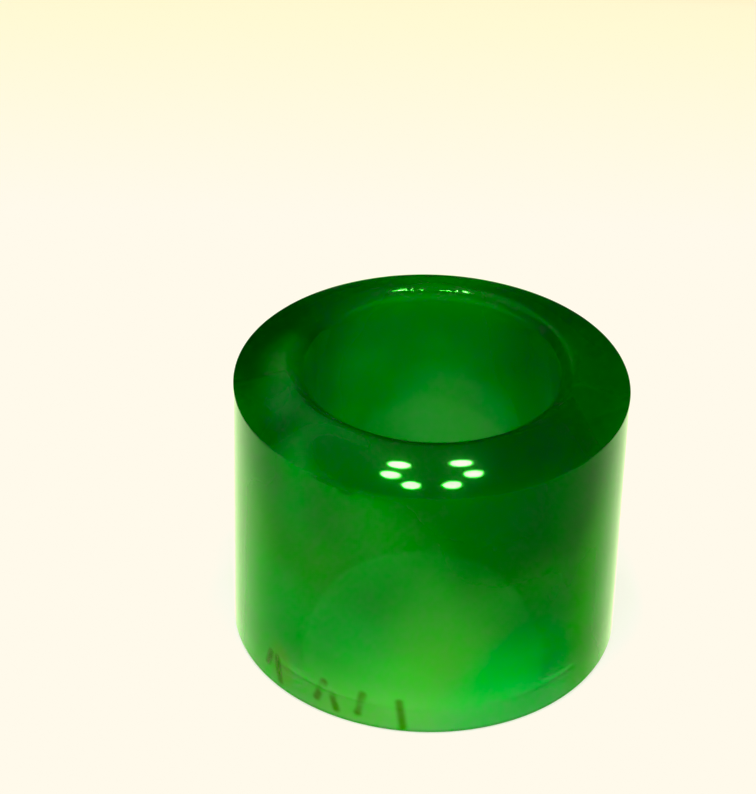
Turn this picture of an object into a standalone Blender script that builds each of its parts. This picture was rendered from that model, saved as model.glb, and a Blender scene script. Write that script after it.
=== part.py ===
"""Archer's thumb ring of green jade: one thick-walled turned solid, standing on its flat foot.

Metres, +Z up. The origin is the centre of the foot, on the axis of the bore.
The section through the wall is one closed outline of straight runs and arcs, spun about Z.
"""
from math import acos, atan2, cos, hypot, pi, radians, sin

import bmesh
import bpy

# The cylinder and its bore
OUTER_RADIUS = 0.0160
BORE_RADIUS = 0.01035
WALL_HEIGHT = 0.0235  # from the foot to the crisp outer edge of the upper end

# The domed rim of the upper end
RIM_RISE = 0.0019  # how far the rim's crown stands above its outer edge
DOME_RADIUS = 0.0134  # radius of the rim's section, from the outer edge to the mouth
RIM_EDGE_ROUND = 0.00012  # the outer edge is crisp, only just broken by polishing
MOUTH_ROUND = 0.0008  # rounding where the rim turns down into the bore

# The flat foot
FOOT_EDGE_ROUND = 0.0003
FOOT_MOUTH_ROUND = 0.0008

# Facets
SEGMENTS_AROUND = 96
ARC_STEP = radians(11.0)  # widest turn between neighbouring points of an arc
DOME_POINTS = 9
SHARP_ANGLE = radians(30.0)

# The stone
JADE_GREEN = (0.012, 0.30, 0.035, 1.0)
JADE_ROUGHNESS = 0.08


def arc(centre, radius, start, end, count=None):
    """Points on an arc in the plane of the section, from one angle to another, both ends included."""
    if count is None:
        count = max(3, round(abs(end - start) / ARC_STEP) + 1)
    turn = (end - start) / (count - 1)
    angles = [start + i * turn for i in range(count)]
    return [(centre[0] + radius * cos(a), centre[1] + radius * sin(a)) for a in angles]


def angle_from(centre, point):
    """Direction of a point seen from a centre."""
    return atan2(point[1] - centre[1], point[0] - centre[0])


def meeting_below(p, p_distance, q, q_distance):
    """The lower of the two points at the given distances from p and q."""
    gap = hypot(q[0] - p[0], q[1] - p[1])
    along = acos((p_distance**2 + gap**2 - q_distance**2) / (2 * p_distance * gap))
    towards = angle_from(p, q)
    found = [(p[0] + p_distance * cos(a), p[1] + p_distance * sin(a)) for a in (towards - along, towards + along)]
    return min(found, key=lambda point: point[1])


def rim_section():
    """Upper end, from the bore's wall over the mouth and the dome to the outer wall."""
    crown = WALL_HEIGHT + RIM_RISE
    mouth_centre = (BORE_RADIUS + MOUTH_ROUND, crown - MOUTH_ROUND)
    outer_edge = (OUTER_RADIUS, WALL_HEIGHT)
    dome_centre = meeting_below(outer_edge, DOME_RADIUS, mouth_centre, DOME_RADIUS - MOUTH_ROUND)
    dome_start = angle_from(dome_centre, mouth_centre)
    edge_x = OUTER_RADIUS - RIM_EDGE_ROUND
    dome_end = acos((edge_x - dome_centre[0]) / (DOME_RADIUS - RIM_EDGE_ROUND))
    edge_centre = (edge_x, dome_centre[1] + (DOME_RADIUS - RIM_EDGE_ROUND) * sin(dome_end))
    mouth = arc(mouth_centre, MOUTH_ROUND, pi, dome_start)
    dome = arc(dome_centre, DOME_RADIUS, dome_start, dome_end, DOME_POINTS)
    edge = arc(edge_centre, RIM_EDGE_ROUND, dome_end, 0.0)
    return mouth + dome[1:] + edge[1:]


def foot_section():
    """Lower end, from the outer wall across the flat foot to the bore's wall."""
    edge_centre = (OUTER_RADIUS - FOOT_EDGE_ROUND, FOOT_EDGE_ROUND)
    mouth_centre = (BORE_RADIUS + FOOT_MOUTH_ROUND, FOOT_MOUTH_ROUND)
    edge = arc(edge_centre, FOOT_EDGE_ROUND, 0.0, -pi / 2)
    mouth = arc(mouth_centre, FOOT_MOUTH_ROUND, -pi / 2, -pi)
    return edge + mouth


def ring_mesh(name):
    """The section spun once round the axis, as one closed body with its faces pointing out."""
    bm = bmesh.new()
    corners = [bm.verts.new((x, 0.0, z)) for x, z in rim_section() + foot_section()]
    outline = [bm.edges.new((a, b)) for a, b in zip(corners, corners[1:] + corners[:1])]
    bmesh.ops.spin(
        bm,
        geom=corners + outline,
        cent=(0.0, 0.0, 0.0),
        axis=(0.0, 0.0, 1.0),
        angle=2 * pi,
        steps=SEGMENTS_AROUND,
        use_merge=True,
    )
    bmesh.ops.recalc_face_normals(bm, faces=bm.faces)
    mesh = bpy.data.meshes.new(name)
    bm.to_mesh(mesh)
    bm.free()
    mesh.shade_smooth()
    mesh.set_sharp_from_angle(angle=SHARP_ANGLE)
    return mesh


def jade_material():
    """Polished translucent green stone."""
    material = bpy.data.materials.new("jade")
    material.use_nodes = True
    shader = material.node_tree.nodes["Principled BSDF"]
    shader.inputs["Base Color"].default_value = JADE_GREEN
    shader.inputs["Roughness"].default_value = JADE_ROUGHNESS
    shader.inputs["Metallic"].default_value = 0.0
    material.diffuse_color = JADE_GREEN
    return material


def thumb_ring():
    """The ring itself, the object's only piece."""
    mesh = ring_mesh("thumb_ring")
    mesh.materials.append(jade_material())
    ring = bpy.data.objects.new("thumb_ring", mesh)
    bpy.context.collection.objects.link(ring)
    return ring


def main():
    for old in list(bpy.data.objects):
        bpy.data.objects.remove(old, do_unlink=True)
    thumb_ring()


main()
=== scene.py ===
"""Looks of a jade thumb ring: polished, cloudy, translucent green stone standing on a pale table."""

from math import acos, atan2, cos, hypot, pi, radians, sin

import bpy
from mathutils import Matrix, Vector


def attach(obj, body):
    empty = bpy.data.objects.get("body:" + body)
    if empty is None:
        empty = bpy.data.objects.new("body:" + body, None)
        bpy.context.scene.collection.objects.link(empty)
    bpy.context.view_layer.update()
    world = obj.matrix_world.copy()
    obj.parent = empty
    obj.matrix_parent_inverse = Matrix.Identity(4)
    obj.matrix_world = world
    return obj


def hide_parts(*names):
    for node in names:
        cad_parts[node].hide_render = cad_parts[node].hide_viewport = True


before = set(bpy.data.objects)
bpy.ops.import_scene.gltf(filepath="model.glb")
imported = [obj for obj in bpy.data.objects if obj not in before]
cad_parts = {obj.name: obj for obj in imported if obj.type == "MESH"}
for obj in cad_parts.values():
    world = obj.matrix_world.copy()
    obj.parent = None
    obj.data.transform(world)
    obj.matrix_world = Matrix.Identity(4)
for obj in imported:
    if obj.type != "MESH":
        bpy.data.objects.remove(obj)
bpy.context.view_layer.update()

# The ring's section, in metres: the solid's own, with a rounder mouth
OUTER_RADIUS = 0.0160
BORE_RADIUS = 0.01035
WALL_HEIGHT = 0.0235  # from the foot to the outer edge of the upper end
RIM_RISE = 0.0019  # how far the rim's crown stands above its outer edge
DOME_RADIUS = 0.0134
RIM_EDGE_ROUND = 0.00012
MOUTH_ROUND = 0.0012
FOOT_EDGE_ROUND = 0.0003
FOOT_MOUTH_ROUND = 0.0008

# Facets of the finished surface
STEPS_AROUND = 384
ARC_STEP = radians(7.5)  # about the turn between neighbouring points of an arc
ARC_FEWEST = 3
DOME_POINTS = 26
WALL_POINTS = 32
FOOT_POINTS = 8
SUPPORT = 0.00006  # a row of points this far from each end of a straight run keeps it flat to the eye
# Rows of points this far below the outer edge, close enough together to carry the chips
TOP_ROWS = (0.00006, 0.00022, 0.00040, 0.00060, 0.00082, 0.00106, 0.00135)

# The hand-ground surface
WAVINESS = 0.00004
WAVE_SIZE = 0.009
WAVE_SEED = 4.0
WAVE_DETAIL = 1.0
LEVEL_FOOT = 0.003  # the waves fade out over this height above the foot
HOLLOW_EDGE = (1.0, 0.3)  # where a hollow begins and where it is full, in parts of its reach
# Small chips in the outer edge at the front left: place, reach and depth
CHIPS = (
    ((-0.00630, -0.01471, 0.0232), (0.0009, 0.0008, 0.0006), 0.00014),
    ((-0.00760, -0.01408, 0.0233), (0.0024, 0.0014, 0.0003), 0.00005),
)
# Tool dips in the back of the mouth, which part the lamps' images there: place, reach and depth
DIPS = (
    ((-0.00190, 0.0112, 0.0252), (0.00045, 0.0014, 0.0014), 0.00003),
    ((0.00180, 0.0112, 0.0252), (0.00045, 0.0014, 0.0014), 0.00003),
)

# The camera of the picture
CAMERA_PLACE = (0.0, -0.2075, 0.1655)
CAMERA_YAW = radians(-1.19)
CAMERA_PITCH = radians(34.71)
CAMERA_ROLL = radians(1.43)
CAMERA_LENS = 141.6
CAMERA_SENSOR = 36.0
CAMERA_NEAREST = 0.01
CAMERA_FURTHEST = 10.0

# The stone's depth and gloss
JADE_INDEX = 1.66
CLEARNESS = 0.7  # the part of the light that goes through, where the rest is scattered by the haze
STONE_TINT = (0.78, 0.90, 0.80, 1.0)
STONE_DENSITY = 620.0
HAZE_DEPTH = 0.012
HAZE_REACH = (0.15, 1.0, 0.2)  # how far red, green and blue light goes, in parts of that depth
GLOSS_TINT = (0.30, 1.0, 0.32, 1.0)
POLISH = 0.06
FOOT_ROUGHNESS = 0.5

# The stone's greens
DEEP_GREEN = (0.030, 0.09, 0.036, 1.0)
MID_GREEN = (0.075, 0.22, 0.085, 1.0)
PALE_GREEN = (0.180, 0.50, 0.190, 1.0)
BLUER = (0.93, 1.0, 1.05, 1.0)
YELLOWER = (1.07, 1.0, 0.96, 1.0)
HUE_RANGE = (0.35, 0.65)  # the hue pattern's values that are fully bluer and fully yellower
PALE_DIRECTION = (-0.15, 0.0, -1.0)  # the colour pales this way, from the dark upper right to the foot: the stone's zoning, with painted shade at the top and painted light low down
PALE_LENGTH = 0.026
# Patterns in the stone: seed, size and detail
CLOUDS = (2.0, 0.010, 1.0)
WISPS = (5.0, 0.0032, 2.0)
HUES = (9.0, 0.011, 1.0)
WISP_WEIGHT = 0.35

# Zones of another green, most of them painted light and shade: place, radii, colour and strength
LIGHT_SHADE_AND_STAIN_ZONES = (
    # the wall's pale arch, painted light of the lit floor inside the bore seen through the wall; the paler
    # lower right, lower left and upper left and the darker upper right; and the pale foot, painted light that
    # comes up through the stone from the table
    ((0.0005, -0.0150, 0.0040), (0.0066, 0.0070, 0.0110), (0.25, 0.47, 0.20, 1.0), 0.6),
    ((0.0080, -0.0130, 0.0020), (0.0062, 0.0062, 0.0060), (0.07, 0.50, 0.17, 1.0), 0.55),
    ((-0.0095, -0.0130, 0.0060), (0.0060, 0.0070, 0.0090), (0.17, 0.42, 0.17, 1.0), 0.6),
    ((-0.0080, -0.0140, 0.0200), (0.0070, 0.0060, 0.0065), (0.17, 0.43, 0.18, 1.0), 0.57),
    ((0.0065, -0.0140, 0.0200), (0.0055, 0.0060, 0.0060), (0.015, 0.08, 0.025, 1.0), 0.8),
    ((0.0000, 0.0000, 0.0000), (0.0200, 0.0200, 0.0050), (0.46, 0.78, 0.42, 1.0), 0.7),
    # painted light on the back of the bore, half way up and at its top
    ((0.0021, 0.0103, 0.0125), (0.0058, 0.0040, 0.0048), (0.24, 0.42, 0.24, 1.0), 0.5),
    ((0.0000, 0.0125, 0.0215), (0.0130, 0.0060, 0.0060), (0.14, 0.38, 0.16, 1.0), 0.3),
    # painted light and shade on the rim: at its back, front left, left and right, and a painted reflection of
    # the window on the left
    ((0.0000, 0.0150, 0.0245), (0.0110, 0.0030, 0.0030), (0.11, 0.44, 0.13, 1.0), 0.7),
    ((-0.0050, -0.0135, 0.0246), (0.0070, 0.0036, 0.0011), (0.02, 0.08, 0.03, 1.0), 0.8),
    ((-0.0140, 0.0000, 0.0250), (0.0040, 0.0120, 0.0030), (0.012, 0.06, 0.016, 1.0), 0.9),
    ((-0.0121, -0.0024, 0.0247), (0.0022, 0.0056, 0.0030), (0.16, 0.42, 0.18, 1.0), 0.33),
    ((0.0140, 0.0000, 0.0250), (0.0040, 0.0120, 0.0030), (0.04, 0.15, 0.04, 1.0), 0.6),
    # a warm stain low on the left, and painted light on the wall's left and right limbs, where the table's
    # light shows at the edges
    ((-0.0118, -0.0108, 0.0028), (0.0016, 0.0016, 0.0014), (0.28, 0.34, 0.12, 1.0), 0.4),
    ((-0.0150, -0.0050, 0.0090), (0.0040, 0.0080, 0.0130), (0.15, 0.50, 0.14, 1.0), 0.8),
    ((0.0150, -0.0050, 0.0090), (0.0040, 0.0080, 0.0130), (0.10, 0.40, 0.08, 1.0), 0.7),
)
ZONE_EDGE = (1.35, 0.55)  # where a zone begins and where it is full, in parts of its radii
WANDER = 0.004  # how far the zones' edges wander
WANDER_SIZE = 0.010

# Painted shade on the outer wall: a painted contact shadow along the foot's edge in front, and painted shade
# in the chips
MARK_DEPTH = 0.0005  # shade and ink stay this close to the wall's face
FOOT_PAINTED_SHADOW = 0.7
FOOT_SHADE_HEIGHTS = (0.0006, 0.0001)
FOOT_SHADE_FRONT = (0.0, -0.004)
CHIP_PAINTED_SHADE = 0.6
CHIP_SHADE_EDGE = (1.2, 0.6)

# Worn ink dabs low on the wall, a colour only: way round the wall, height, tilt in degrees and half length
INK = (0.060, 0.085, 0.014, 1.0)
INK_STRENGTH = 0.8
INK_WEAR = (0.36, 0.50)  # the wisps wear the ink away below the first and leave it whole above the second
INK_HALF_WIDTH = 0.00032
INK_SOFTNESS = 0.00025
INK_DABS = (
    (-0.0142, 0.0025, 18, 0.0007),
    (-0.0130, 0.0020, -10, 0.0011),
    (-0.0085, 0.0024, 20, 0.0010),
    (-0.0072, 0.0017, -16, 0.0007),
    (-0.0049, 0.0023, 11, 0.0010),
    (-0.0015, 0.0018, -8, 0.0013),
)

# The broad soft light in front, which the stone doesn't mirror
FILL_PLACE = (0.0, -0.9, 0.9)
FILL_SIZE = (2.6, 1.8)
FILL_POWER = 26.0
FILL_COLOUR = (1, 0.99, 0.96)

# The small lamps overhead, mirrored in the front of the rim and in the back of the mouth
LAMP_POWER = 0.13
LAMP_SIZE = 0.036
LAMP_COLOUR = (1, 1, 0.95)
LAMP_TARGET = (0, 0, 0.02)
LAMP_HEIGHT = 0.40
LAMP_PLACES = (
    (-0.0474, 0.053),
    (-0.0671, 0.0005),
    (-0.0315, -0.047),
    (0.0487, 0.073),
    (0.0779, 0.018),
    (0.0450, -0.039),
)

# The room: light that grows towards the front, a soft patch overhead and a window behind on the left
ROOM_COLOUR = (0.82, 1.0, 0.80, 1.0)
ROOM_LIGHT = 0.6
ROOM_LEVEL = 0.5  # the part of it that comes from beside the ring
ROOM_SLOPE = -1.2  # how that part changes towards the back
PATCH_LIGHT = 0.58
PATCH_DIRECTION = (-0.24, 0.30, 0.92)
PATCH_REACH = (0.86, 0.99)  # where the patch begins and where it is full, as a cosine
WINDOW_LIGHT = 0.36
WINDOW_DIRECTION = (-0.347, 0.699, 0.625)
WINDOW_TURN = radians(-48.0)
WINDOW_HALF = (0.22, 0.14)
WINDOW_SOFTNESS = 0.08
WINDOW_SIDE = (0.5, 0.6)  # cosines that keep it off the far side of the room

# The light from below, which the wall's sides mirror
LOW_COLOUR = (0.84, 1.0, 0.74, 1.0)
LOW_LIGHT = 0.35
LOW_START = -0.35  # it begins where a direction points down this steeply, and is full at the next value
LOW_FULL = -0.5
# Its brighter parts: direction, sharpness and strength
LOW_LOBES = (
    ((0.000, -0.788, -0.616), 3.0, 0.6),
    ((0.452, 0.645, -0.616), 12.0, 0.54),
    ((-0.204, 0.761, -0.616), 4.0, 1.4),
)

# The floor, a little bright of itself, with painted light that falls off behind the ring into painted shade
FLOOR_HALF = 0.6
FLOOR_GAP = 0.00002
FLOOR_DEPTH = 0.16  # from the ring's axis back to where the floor is at its darkest
FLOOR_NEAR = (1.0, 1.0, 1.05, 1)
FLOOR_BACK = (0.92, 0.85, 0.76, 1)
FLOOR_BACK_AT = 0.7  # this tone's place, in parts of that depth
FLOOR_FAR = (0.03, 0.03, 0.02, 1)
FLOOR_PAINT = 0.5
FLOOR_GLOW = 0.5
FLOOR_ROUGHNESS = 0.9
FLOOR_GLOSS = 0.1

# The finish of the picture
GLOW = 0.8
GLOW_SIZE = 0.2
GLOW_THRESHOLD = 1.15
GLOW_LIMIT = 3.0
VIVIDNESS = 1.5
PLAIN_WHITE = (1, 1, 1, 1)
WARM_WHITE = (1.0, 0.955, 0.83, 1.0)

UP = Vector((0, 0, 1))

# A Mix node's sockets for its two colours and for their blend
FIRST_COLOUR = 6
SECOND_COLOUR = 7
BLEND = 2


def arc(centre, radius, start, end, count=None):
    """Points on an arc of the section, both ends included."""
    if count is None:
        count = max(ARC_FEWEST, round(abs(end - start) / ARC_STEP) + 1)
    turn = (end - start) / (count - 1)
    angles = [start + i * turn for i in range(count)]
    return [(centre[0] + radius * cos(a), centre[1] + radius * sin(a)) for a in angles]


def straight(start, end, count):
    """Points inside a straight run of the section, without its ends, and a support row near each end."""
    near = SUPPORT / hypot(end[0] - start[0], end[1] - start[1])
    shares = [near] + [i / (count + 1) for i in range(1, count + 1)] + [1 - near]
    return [(start[0] + s * (end[0] - start[0]), start[1] + s * (end[1] - start[1])) for s in shares]


def angle_from(centre, point):
    """Direction of a point seen from a centre."""
    return atan2(point[1] - centre[1], point[0] - centre[0])


def meeting_below(p, p_distance, q, q_distance):
    """The lower of the two points at the given distances from p and q."""
    gap = hypot(q[0] - p[0], q[1] - p[1])
    along = acos((p_distance**2 + gap**2 - q_distance**2) / (2 * p_distance * gap))
    towards = angle_from(p, q)
    directions = (towards - along, towards + along)
    found = [(p[0] + p_distance * cos(a), p[1] + p_distance * sin(a)) for a in directions]
    return min(found, key=lambda point: point[1])


def ring_section():
    """The closed outline of the wall's section: mouth, dome, outer edge, outer wall, foot and bore."""
    crown = WALL_HEIGHT + RIM_RISE
    mouth_centre = (BORE_RADIUS + MOUTH_ROUND, crown - MOUTH_ROUND)
    outer_edge = (OUTER_RADIUS, WALL_HEIGHT)
    dome_centre = meeting_below(outer_edge, DOME_RADIUS, mouth_centre, DOME_RADIUS - MOUTH_ROUND)
    dome_start = angle_from(dome_centre, mouth_centre)
    edge_x = OUTER_RADIUS - RIM_EDGE_ROUND
    dome_end = acos((edge_x - dome_centre[0]) / (DOME_RADIUS - RIM_EDGE_ROUND))
    edge_centre = (edge_x, dome_centre[1] + (DOME_RADIUS - RIM_EDGE_ROUND) * sin(dome_end))
    foot_edge_centre = (OUTER_RADIUS - FOOT_EDGE_ROUND, FOOT_EDGE_ROUND)
    foot_mouth_centre = (BORE_RADIUS + FOOT_MOUTH_ROUND, FOOT_MOUTH_ROUND)
    mouth = arc(mouth_centre, MOUTH_ROUND, pi, dome_start)
    dome = arc(dome_centre, DOME_RADIUS, dome_start, dome_end, DOME_POINTS)[1:-1]
    # a support row close to the outer edge, and the dome's last point
    dome += arc(dome_centre, DOME_RADIUS, dome_end + SUPPORT / DOME_RADIUS, dome_end, 2)
    edge = arc(edge_centre, RIM_EDGE_ROUND, dome_end, 0.0)[1:]
    foot_edge = arc(foot_edge_centre, FOOT_EDGE_ROUND, 0.0, -pi / 2)
    foot_mouth = arc(foot_mouth_centre, FOOT_MOUTH_ROUND, -pi / 2, -pi)
    top = [(OUTER_RADIUS, edge[-1][1] - drop) for drop in TOP_ROWS]
    wall = top + straight(top[-1], foot_edge[0], WALL_POINTS)[1:]
    foot = straight(foot_edge[-1], foot_mouth[0], FOOT_POINTS)
    bore = straight(foot_mouth[-1], mouth[0], WALL_POINTS)
    return mouth + dome + edge + wall + foot_edge + foot + foot_mouth + bore


def add_node(tree, kind, inputs=None, **settings):
    """A node of the tree, with its settings made and its inputs set or linked."""
    node = tree.nodes.new(kind)
    for name, value in settings.items():
        setattr(node, name, value)
    for socket, value in (inputs or {}).items():
        if isinstance(value, bpy.types.NodeSocket):
            tree.links.new(value, node.inputs[socket])
        else:
            node.inputs[socket].default_value = value
    return node


def math_node(tree, operation, a, b=0.0, c=0.0, clamp=False):
    """The result of one sum."""
    inputs = {0: a, 1: b, 2: c}
    return add_node(tree, "ShaderNodeMath", inputs, operation=operation, use_clamp=clamp).outputs[0]


def vector_node(tree, operation, *values):
    """The result of one sum with vectors: a number for a length or a dot product, or else a vector."""
    node = add_node(tree, "ShaderNodeVectorMath", dict(enumerate(values)), operation=operation)
    return node.outputs["Value" if operation in ("LENGTH", "DOT_PRODUCT") else "Vector"]


def scaled(tree, vector, factor):
    """A vector times a number."""
    inputs = {0: vector, "Scale": factor}
    return add_node(tree, "ShaderNodeVectorMath", inputs, operation="SCALE").outputs["Vector"]


def axes_of(tree, vector):
    """A vector's X, Y and Z."""
    return add_node(tree, "ShaderNodeSeparateXYZ", {0: vector}).outputs


def eased(tree, value, start, end, top=1.0):
    """Rises smoothly from nothing to the top while the value goes from start to end."""
    inputs = {"Value": value, "From Min": start, "From Max": end, "To Max": top}
    return add_node(tree, "ShaderNodeMapRange", inputs, interpolation_type="SMOOTHSTEP").outputs[0]


def noise(tree, place, seed, scale, detail):
    """A soft cloudy pattern of values round a half."""
    inputs = {"Vector": place, "W": seed, "Scale": scale, "Detail": detail}
    return add_node(tree, "ShaderNodeTexNoise", inputs, noise_dimensions="4D").outputs[0]


def blended(tree, share, first, second, blend_type="MIX"):
    """Two colours blended, the second by its share."""
    inputs = {"Factor": share, FIRST_COLOUR: first, SECOND_COLOUR: second}
    return add_node(tree, "ShaderNodeMix", inputs, data_type="RGBA", blend_type=blend_type).outputs[BLEND]


def colour_ramp(tree, share, first, last, middle=(), interpolation="LINEAR"):
    """Colours along a ramp, each given as its place and colour."""
    node = add_node(tree, "ShaderNodeValToRGB", {"Fac": share})
    ramp = node.color_ramp
    ramp.interpolation = interpolation
    for element, (position, colour) in zip(ramp.elements, (first, last)):
        element.position = position
        element.color = colour
    for position, colour in middle:
        ramp.elements.new(position).color = colour
    return node.outputs[0]


def spread_from(tree, place, centre, radii):
    """How far a place is from the centre of an ellipsoid, in parts of its radii."""
    away = vector_node(tree, "SUBTRACT", place, centre)
    return vector_node(tree, "LENGTH", vector_node(tree, "DIVIDE", away, radii))


def hollowed(tree, surface, centre, reach, depth):
    """The surface with a shallow hollow pushed down into it."""
    place = add_node(tree, "GeometryNodeInputPosition").outputs[0]
    dent = eased(tree, spread_from(tree, place, centre, reach), *HOLLOW_EDGE, depth)
    push = scaled(tree, -UP, dent)
    return add_node(tree, "GeometryNodeSetPosition", {"Geometry": surface, "Offset": push}).outputs[0]


def waved(tree, surface, given):
    """The surface moved along its normals by soft waves, which leave the foot level."""
    place = add_node(tree, "GeometryNodeInputPosition").outputs[0]
    normal = add_node(tree, "GeometryNodeInputNormal").outputs[0]
    finer = math_node(tree, "DIVIDE", 1.0, given["Wave Size"])
    waves = noise(tree, place, given["Seed"], finer, WAVE_DETAIL)
    off_foot = math_node(tree, "DIVIDE", axes_of(tree, place)["Z"], LEVEL_FOOT, clamp=True)
    centred = math_node(tree, "SUBTRACT", waves, 0.5)
    push = math_node(tree, "MULTIPLY", math_node(tree, "MULTIPLY", centred, given["Waviness"]), off_foot)
    inputs = {"Geometry": surface, "Offset": scaled(tree, normal, push)}
    return add_node(tree, "GeometryNodeSetPosition", inputs).outputs[0]


def turning_tree():
    """Geometry nodes that sweep a section once round the axis and give it a hand-ground surface."""
    tree = bpy.data.node_groups.new("turned_ring", "GeometryNodeTree")
    asked = {
        "Section": "Geometry",
        "Steps Around": "Int",
        "Path Radius": "Float",
        "Waviness": "Float",
        "Wave Size": "Float",
        "Seed": "Float",
        "Material": "Material",
    }
    for name, kind in asked.items():
        tree.interface.new_socket(name, in_out="INPUT", socket_type="NodeSocket" + kind)
    tree.interface.new_socket("Ring", in_out="OUTPUT", socket_type="NodeSocketGeometry")
    given = add_node(tree, "NodeGroupInput").outputs
    section = add_node(tree, "GeometryNodeMeshToCurve", {"Mesh": given["Section"]}).outputs["Curve"]
    circle = {"Resolution": given["Steps Around"], "Radius": given["Path Radius"]}
    path = add_node(tree, "GeometryNodeCurvePrimitiveCircle", circle, mode="RADIUS").outputs["Curve"]
    swept = add_node(tree, "GeometryNodeCurveToMesh", {"Curve": path, "Profile Curve": section})
    surface = waved(tree, swept.outputs[0], given)
    for centre, reach, depth in CHIPS + DIPS:
        surface = hollowed(tree, surface, centre, reach, depth)
    smooth = add_node(tree, "GeometryNodeSetShadeSmooth", {"Geometry": surface, "Shade Smooth": True})
    real = add_node(tree, "GeometryNodeRealizeInstances", {"Geometry": smooth.outputs[0]})
    finish = {"Geometry": real.outputs[0], "Material": given["Material"]}
    dressed = add_node(tree, "GeometryNodeSetMaterial", finish)
    add_node(tree, "NodeGroupOutput", {"Ring": dressed.outputs[0]})
    return tree


def set_inputs(modifier, values):
    """Sets a Geometry Nodes modifier's inputs, found by their names."""
    for item in modifier.node_group.interface.items_tree:
        if item.name in values:
            modifier[item.identifier] = values[item.name]


def plain_mesh(guide, name):
    """What a guide object's modifiers make, as a plain mesh object at the origin, and the guide is gone."""
    graph = bpy.context.evaluated_depsgraph_get()
    shaped = guide.evaluated_get(graph)
    mesh = bpy.data.meshes.new_from_object(shaped, preserve_all_data_layers=True, depsgraph=graph)
    mesh.name = name
    bpy.data.objects.remove(guide, do_unlink=True)
    piece = bpy.data.objects.new(name, mesh)
    bpy.context.collection.objects.link(piece)
    return piece


def jade_ring(material):
    """The ring, turned from its section."""
    path_radius = (OUTER_RADIUS + BORE_RADIUS) / 2
    corners = [(x - path_radius, -z, 0.0) for x, z in ring_section()]
    edges = [(i, (i + 1) % len(corners)) for i in range(len(corners))]
    outline = bpy.data.meshes.new("ring_section")
    outline.from_pydata(corners, edges, [])
    guide = bpy.data.objects.new("ring_section", outline)
    bpy.context.collection.objects.link(guide)
    modifier = guide.modifiers.new("turned", "NODES")
    modifier.node_group = turning_tree()
    set_inputs(
        modifier,
        {
            "Steps Around": STEPS_AROUND,
            "Path Radius": path_radius,
            "Waviness": WAVINESS,
            "Wave Size": WAVE_SIZE,
            "Seed": WAVE_SEED,
            "Material": material,
        },
    )
    return plain_mesh(guide, "jade_thumb_ring")


def pattern(tree, place, seed, size, detail):
    """One of the stone's patterns, at its real size."""
    return noise(tree, place, seed, 1 / size, detail)


def clouded_green(tree, place, wisps):
    """Soft clouds and fine wisps, deeper at the top right and paler towards the foot: the stone's zoning,
    with painted shade at the top and painted light low down.
    """
    centred = vector_node(tree, "SUBTRACT", place, (0, 0, WALL_HEIGHT / 2))
    along = vector_node(tree, "DOT_PRODUCT", centred, PALE_DIRECTION)
    # painted shade at the top and painted light low down, where the table's light comes up through the stone,
    # over the stone's own zoning
    paler = math_node(tree, "MULTIPLY_ADD", along, 1 / PALE_LENGTH, 0.5)
    cloudy = math_node(tree, "SUBTRACT", pattern(tree, place, *CLOUDS), 0.5)
    wispy = math_node(tree, "MULTIPLY_ADD", wisps, WISP_WEIGHT, -WISP_WEIGHT / 2)
    paleness = math_node(tree, "ADD", math_node(tree, "ADD", paler, cloudy), wispy, clamp=True)
    return colour_ramp(tree, paleness, (0, DEEP_GREEN), (1, PALE_GREEN), [(0.5, MID_GREEN)], "EASE")


def wandered(tree, place):
    """The place shifted a little this way and that, so that what is laid out on it gets uneven edges."""
    inputs = {"Vector": place, "Scale": 1 / WANDER_SIZE, "Detail": 1.0}
    wander = add_node(tree, "ShaderNodeTexNoise", inputs).outputs[1]
    shift = vector_node(tree, "SUBTRACT", wander, (0.5, 0.5, 0.5))
    return vector_node(tree, "MULTIPLY_ADD", shift, (WANDER, WANDER, WANDER), place)


def dab_cover(tree, around, height, dab):
    """How far one short leaning dab with soft edges covers each place of the wall."""
    middle, level, tilt, half_length = dab
    lean = radians(tilt)
    right = math_node(tree, "SUBTRACT", around, middle)
    up = math_node(tree, "SUBTRACT", height, level)
    across = math_node(tree, "MULTIPLY_ADD", right, cos(lean), math_node(tree, "MULTIPLY", up, -sin(lean)))
    lengthways = math_node(tree, "MULTIPLY_ADD", right, sin(lean), math_node(tree, "MULTIPLY", up, cos(lean)))
    past_end = math_node(tree, "SUBTRACT", math_node(tree, "ABSOLUTE", lengthways), half_length)
    beyond = math_node(tree, "MAXIMUM", past_end)
    squares = math_node(tree, "MULTIPLY_ADD", across, across, math_node(tree, "MULTIPLY", beyond, beyond))
    off = math_node(tree, "SQRT", squares)
    return eased(tree, off, INK_HALF_WIDTH + INK_SOFTNESS, INK_HALF_WIDTH - INK_SOFTNESS)


def ink_cover(tree, axes):
    """How far the dabs of ink cover each place, as if each went right through the wall."""
    behind = math_node(tree, "MULTIPLY", axes["Y"], -1.0)
    around = math_node(tree, "MULTIPLY", math_node(tree, "ARCTAN2", axes["X"], behind), OUTER_RADIUS)
    cover = 0.0
    for dab in INK_DABS:
        cover = math_node(tree, "MAXIMUM", dab_cover(tree, around, axes["Z"], dab), cover)
    return cover


def painted_wall_shade(tree, place, axes):
    """How far each place gets painted shade: a painted contact shadow along the foot's edge in front, and
    painted shade in the chips.
    """
    front = eased(tree, axes["Y"], *FOOT_SHADE_FRONT, FOOT_PAINTED_SHADOW)
    shade = math_node(tree, "MULTIPLY", eased(tree, axes["Z"], *FOOT_SHADE_HEIGHTS), front)
    # painted shade in the chips' hollows
    for centre, reach, _ in CHIPS:
        dark = eased(tree, spread_from(tree, place, centre, reach), *CHIP_SHADE_EDGE, CHIP_PAINTED_SHADE)
        shade = math_node(tree, "MAXIMUM", shade, dark)
    return shade


def near_wall_face(tree, place):
    """One on the outer wall, nothing further in."""
    radius = vector_node(tree, "LENGTH", vector_node(tree, "MULTIPLY", place, (1, 1, 0)))
    return math_node(tree, "GREATER_THAN", radius, OUTER_RADIUS - MARK_DEPTH)


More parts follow.
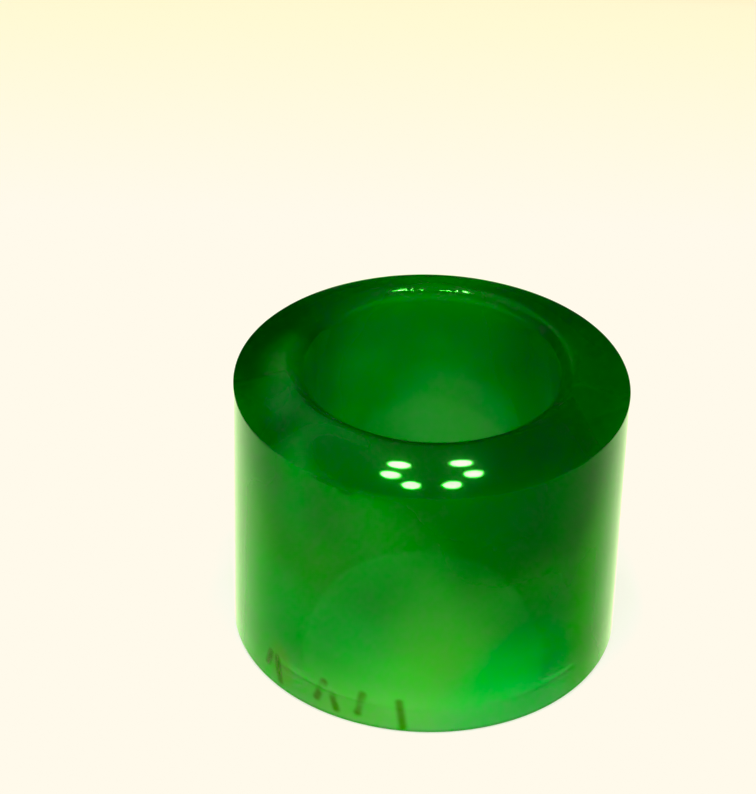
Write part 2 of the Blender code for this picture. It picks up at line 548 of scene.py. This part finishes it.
def jade_pattern(tree):
    """The stone's colour: clouds, wisps and patches of hue, zones that are mostly painted light and shade,
    the wall's painted shade, and worn ink.
    """
    place = add_node(tree, "ShaderNodeTexCoord").outputs["Object"]
    axes = axes_of(tree, place)
    wisps = pattern(tree, place, *WISPS)
    colour = clouded_green(tree, place, wisps)
    uneven = wandered(tree, place)
    # most zones paint light and shade in: the lit arch, the foot, the bore, the rim and the limbs
    for centre, radii, tone, strength in LIGHT_SHADE_AND_STAIN_ZONES:
        share = eased(tree, spread_from(tree, uneven, centre, radii), *ZONE_EDGE, strength)
        colour = blended(tree, share, colour, tone)
    hues = pattern(tree, place, *HUES)
    hue = colour_ramp(tree, hues, (HUE_RANGE[0], BLUER), (HUE_RANGE[1], YELLOWER))
    colour = blended(tree, 1.0, colour, hue, "MULTIPLY")
    outside = near_wall_face(tree, place)
    # painted shade in the deep green: a contact shadow along the foot's edge in front, and shade in the chips
    shade = math_node(tree, "MULTIPLY", painted_wall_shade(tree, place, axes), outside)
    colour = blended(tree, shade, colour, DEEP_GREEN)
    ink = math_node(tree, "MULTIPLY", ink_cover(tree, axes), outside)
    worn = eased(tree, wisps, *INK_WEAR, INK_STRENGTH)
    return blended(tree, math_node(tree, "MULTIPLY", ink, worn), colour, INK)


def jade_material():
    """Polished translucent jade, ground matt on the foot."""
    material = bpy.data.materials.new("polished_jade")
    material.use_nodes = True
    tree = material.node_tree
    shader = tree.nodes["Principled BSDF"]
    tree.links.new(jade_pattern(tree), shader.inputs["Base Color"])
    height = axes_of(tree, add_node(tree, "ShaderNodeTexCoord").outputs["Object"])["Z"]
    polish = {"Value": height, "From Max": FOOT_EDGE_ROUND, "To Min": FOOT_ROUGHNESS, "To Max": POLISH}
    ground = add_node(tree, "ShaderNodeMapRange", polish)
    tree.links.new(ground.outputs[0], shader.inputs["Roughness"])
    shader.inputs["IOR"].default_value = JADE_INDEX
    shader.inputs["Transmission Weight"].default_value = CLEARNESS
    shader.inputs["Specular Tint"].default_value = GLOSS_TINT
    shader.inputs["Subsurface Weight"].default_value = 1.0
    shader.inputs["Subsurface Radius"].default_value = HAZE_REACH
    shader.inputs["Subsurface Scale"].default_value = HAZE_DEPTH
    volume = add_node(tree, "ShaderNodeVolumeAbsorption", {"Color": STONE_TINT, "Density": STONE_DENSITY})
    tree.links.new(volume.outputs[0], tree.nodes["Material Output"].inputs["Volume"])
    return material


def floor_material():
    """A pale table top with painted light, bright in front and falling off into painted shade behind."""
    material = bpy.data.materials.new("pale_floor")
    material.use_nodes = True
    tree = material.node_tree
    shader = tree.nodes["Principled BSDF"]
    place = add_node(tree, "ShaderNodeTexCoord").outputs["Object"]
    # painted light: the floor's colour and its glow fall off behind the ring like a pool of light, into
    # painted shade far behind
    share = math_node(tree, "DIVIDE", axes_of(tree, place)["Y"], FLOOR_DEPTH, clamp=True)
    tone = colour_ramp(tree, share, (0, FLOOR_NEAR), (1, FLOOR_FAR), [(FLOOR_BACK_AT, FLOOR_BACK)])
    tree.links.new(scaled(tree, tone, FLOOR_PAINT), shader.inputs["Base Color"])
    tree.links.new(tone, shader.inputs["Emission Color"])
    shader.inputs["Emission Strength"].default_value = FLOOR_GLOW
    shader.inputs["Roughness"].default_value = FLOOR_ROUGHNESS
    shader.inputs["Specular IOR Level"].default_value = FLOOR_GLOSS
    return material


def floor():
    """The table top, just under the foot, which the stone doesn't mirror."""
    sides = ((-1, -1), (1, -1), (1, 1), (-1, 1))
    corners = [(x * FLOOR_HALF, y * FLOOR_HALF, 0) for x, y in sides]
    mesh = bpy.data.meshes.new("floor")
    mesh.from_pydata(corners, [], [(0, 1, 2, 3)])
    mesh.materials.append(floor_material())
    top = bpy.data.objects.new("floor", mesh)
    top.location.z = -FLOOR_GAP
    top.visible_glossy = False
    bpy.context.collection.objects.link(top)


def area_light(name, place, target, power, colour):
    """A flat light at a place, facing a target."""
    data = bpy.data.lights.new(name, "AREA")
    data.energy = power
    data.color = colour
    light = bpy.data.objects.new(name, data)
    light.location = place
    light.rotation_euler = (Vector(target) - Vector(place)).to_track_quat("-Z", "Y").to_euler()
    bpy.context.collection.objects.link(light)
    return light


def lamps():
    """A broad soft light in front and six small round lamps overhead."""
    fill = area_light("soft_fill", FILL_PLACE, (0, 0, 0), FILL_POWER, FILL_COLOUR)
    fill.data.shape = "RECTANGLE"
    fill.data.size, fill.data.size_y = FILL_SIZE
    fill.data.use_shadow = False
    fill.visible_glossy = False
    for x, y in LAMP_PLACES:
        lamp = area_light("lamp", (x, y, LAMP_HEIGHT), LAMP_TARGET, LAMP_POWER, LAMP_COLOUR)
        lamp.data.shape = "DISK"
        lamp.data.size = LAMP_SIZE


def part_along(tree, direction, axis):
    """How far a direction runs along an axis."""
    return vector_node(tree, "DOT_PRODUCT", direction, Vector(axis).normalized())


def lobe(tree, direction, centre, sharpness, strength):
    """A soft round light in the room round a direction."""
    facing = math_node(tree, "MAXIMUM", part_along(tree, direction, centre))
    return math_node(tree, "MULTIPLY", math_node(tree, "POWER", facing, sharpness), strength)


def window(tree, direction):
    """A soft-edged oblong light in the room, its long side turned from upright."""
    facing = Vector(WINDOW_DIRECTION).normalized()
    level = facing.cross(UP).normalized()
    upright = level.cross(facing)
    long_axis = upright * cos(WINDOW_TURN) + level * sin(WINDOW_TURN)
    short_axis = long_axis.cross(facing)
    light = eased(tree, part_along(tree, direction, facing), *WINDOW_SIDE, WINDOW_LIGHT)
    for axis, half in zip((long_axis, short_axis), WINDOW_HALF):
        off = math_node(tree, "ABSOLUTE", part_along(tree, direction, axis))
        inside = eased(tree, off, half + WINDOW_SOFTNESS, half - WINDOW_SOFTNESS)
        light = math_node(tree, "MULTIPLY", light, inside)
    return light


def room_light(tree, direction, back):
    """The light from the room: from in front, from the soft patch overhead and from the window."""
    front = math_node(tree, "MULTIPLY_ADD", back, ROOM_SLOPE, ROOM_LEVEL, clamp=True)
    light = math_node(tree, "MULTIPLY", front, ROOM_LIGHT)
    patch = eased(tree, part_along(tree, direction, PATCH_DIRECTION), *PATCH_REACH, PATCH_LIGHT)
    light = math_node(tree, "ADD", light, patch)
    return math_node(tree, "ADD", light, window(tree, direction))


def low_light(tree, direction):
    """The light from below, with its brighter parts."""
    light = LOW_LIGHT
    for centre, sharpness, strength in LOW_LOBES:
        light = math_node(tree, "ADD", lobe(tree, direction, centre, sharpness, strength), light)
    return light


def room():
    """The world round the ring: the room above and the low light below."""
    world = bpy.data.worlds.new("room")
    world.use_nodes = True
    tree = world.node_tree
    direction = add_node(tree, "ShaderNodeTexCoord").outputs["Generated"]
    axes = axes_of(tree, direction)
    below = eased(tree, axes["Z"], LOW_START, LOW_FULL)
    above = eased(tree, axes["Z"], LOW_FULL, LOW_START)
    from_below = math_node(tree, "MULTIPLY", low_light(tree, direction), below)
    light = math_node(tree, "MULTIPLY_ADD", room_light(tree, direction, axes["Y"]), above, from_below)
    background = tree.nodes["Background"]
    tree.links.new(blended(tree, below, ROOM_COLOUR, LOW_COLOUR), background.inputs["Color"])
    tree.links.new(light, background.inputs["Strength"])
    bpy.context.scene.world = world


def tinted(tree, image, colour, clamp=False):
    """The picture times a colour, and with clamp nothing in it is brighter than white."""
    inputs = {0: 1.0, 1: image, 2: colour}
    return add_node(tree, "CompositorNodeMixRGB", inputs, blend_type="MULTIPLY", use_clamp=clamp).outputs[0]


def picture_finish():
    """The picture's own warm white and vivid colour, as a photographer would finish it."""
    scene = bpy.context.scene
    scene.view_settings.view_transform = "Standard"
    scene.use_nodes = True
    tree = scene.node_tree
    tree.nodes.clear()
    shot = add_node(tree, "CompositorNodeRLayers")
    glowing = add_node(
        tree,
        "CompositorNodeGlare",
        {
            "Image": shot.outputs["Image"],
            "Threshold": GLOW_THRESHOLD,
            "Strength": GLOW,
            "Size": GLOW_SIZE,
            "Maximum": GLOW_LIMIT,
        },
        glare_type="BLOOM",
        quality="HIGH",
    )
    bounded = tinted(tree, glowing.outputs["Image"], PLAIN_WHITE, clamp=True)
    vivid = add_node(tree, "CompositorNodeColorCorrection", {"Image": bounded})
    vivid.master_saturation = VIVIDNESS
    white = tinted(tree, vivid.outputs[0], PLAIN_WHITE, clamp=True)
    add_node(tree, "CompositorNodeComposite", {"Image": tinted(tree, white, WARM_WHITE)})


def camera():
    """The camera of the picture."""
    flat = cos(CAMERA_PITCH)
    forward = Vector((sin(CAMERA_YAW) * flat, cos(CAMERA_YAW) * flat, -sin(CAMERA_PITCH)))
    level = forward.cross(UP).normalized()
    upright = level.cross(forward)
    right = level * cos(CAMERA_ROLL) + upright * sin(CAMERA_ROLL)
    up = upright * cos(CAMERA_ROLL) - level * sin(CAMERA_ROLL)
    data = bpy.data.cameras.new("camera")
    data.lens = CAMERA_LENS
    data.sensor_width = CAMERA_SENSOR
    data.clip_start = CAMERA_NEAREST
    data.clip_end = CAMERA_FURTHEST
    view = bpy.data.objects.new("camera", data)
    view.matrix_world = Matrix.Translation(CAMERA_PLACE) @ Matrix((right, up, -forward)).transposed().to_4x4()
    bpy.context.collection.objects.link(view)
    bpy.context.scene.camera = view


def main():
    """The ring on its floor, its light, its camera and the picture's finish."""
    ring = jade_ring(jade_material())
    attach(ring, "root")
    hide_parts("thumb_ring")
    floor()
    lamps()
    room()
    camera()
    picture_finish()


main()
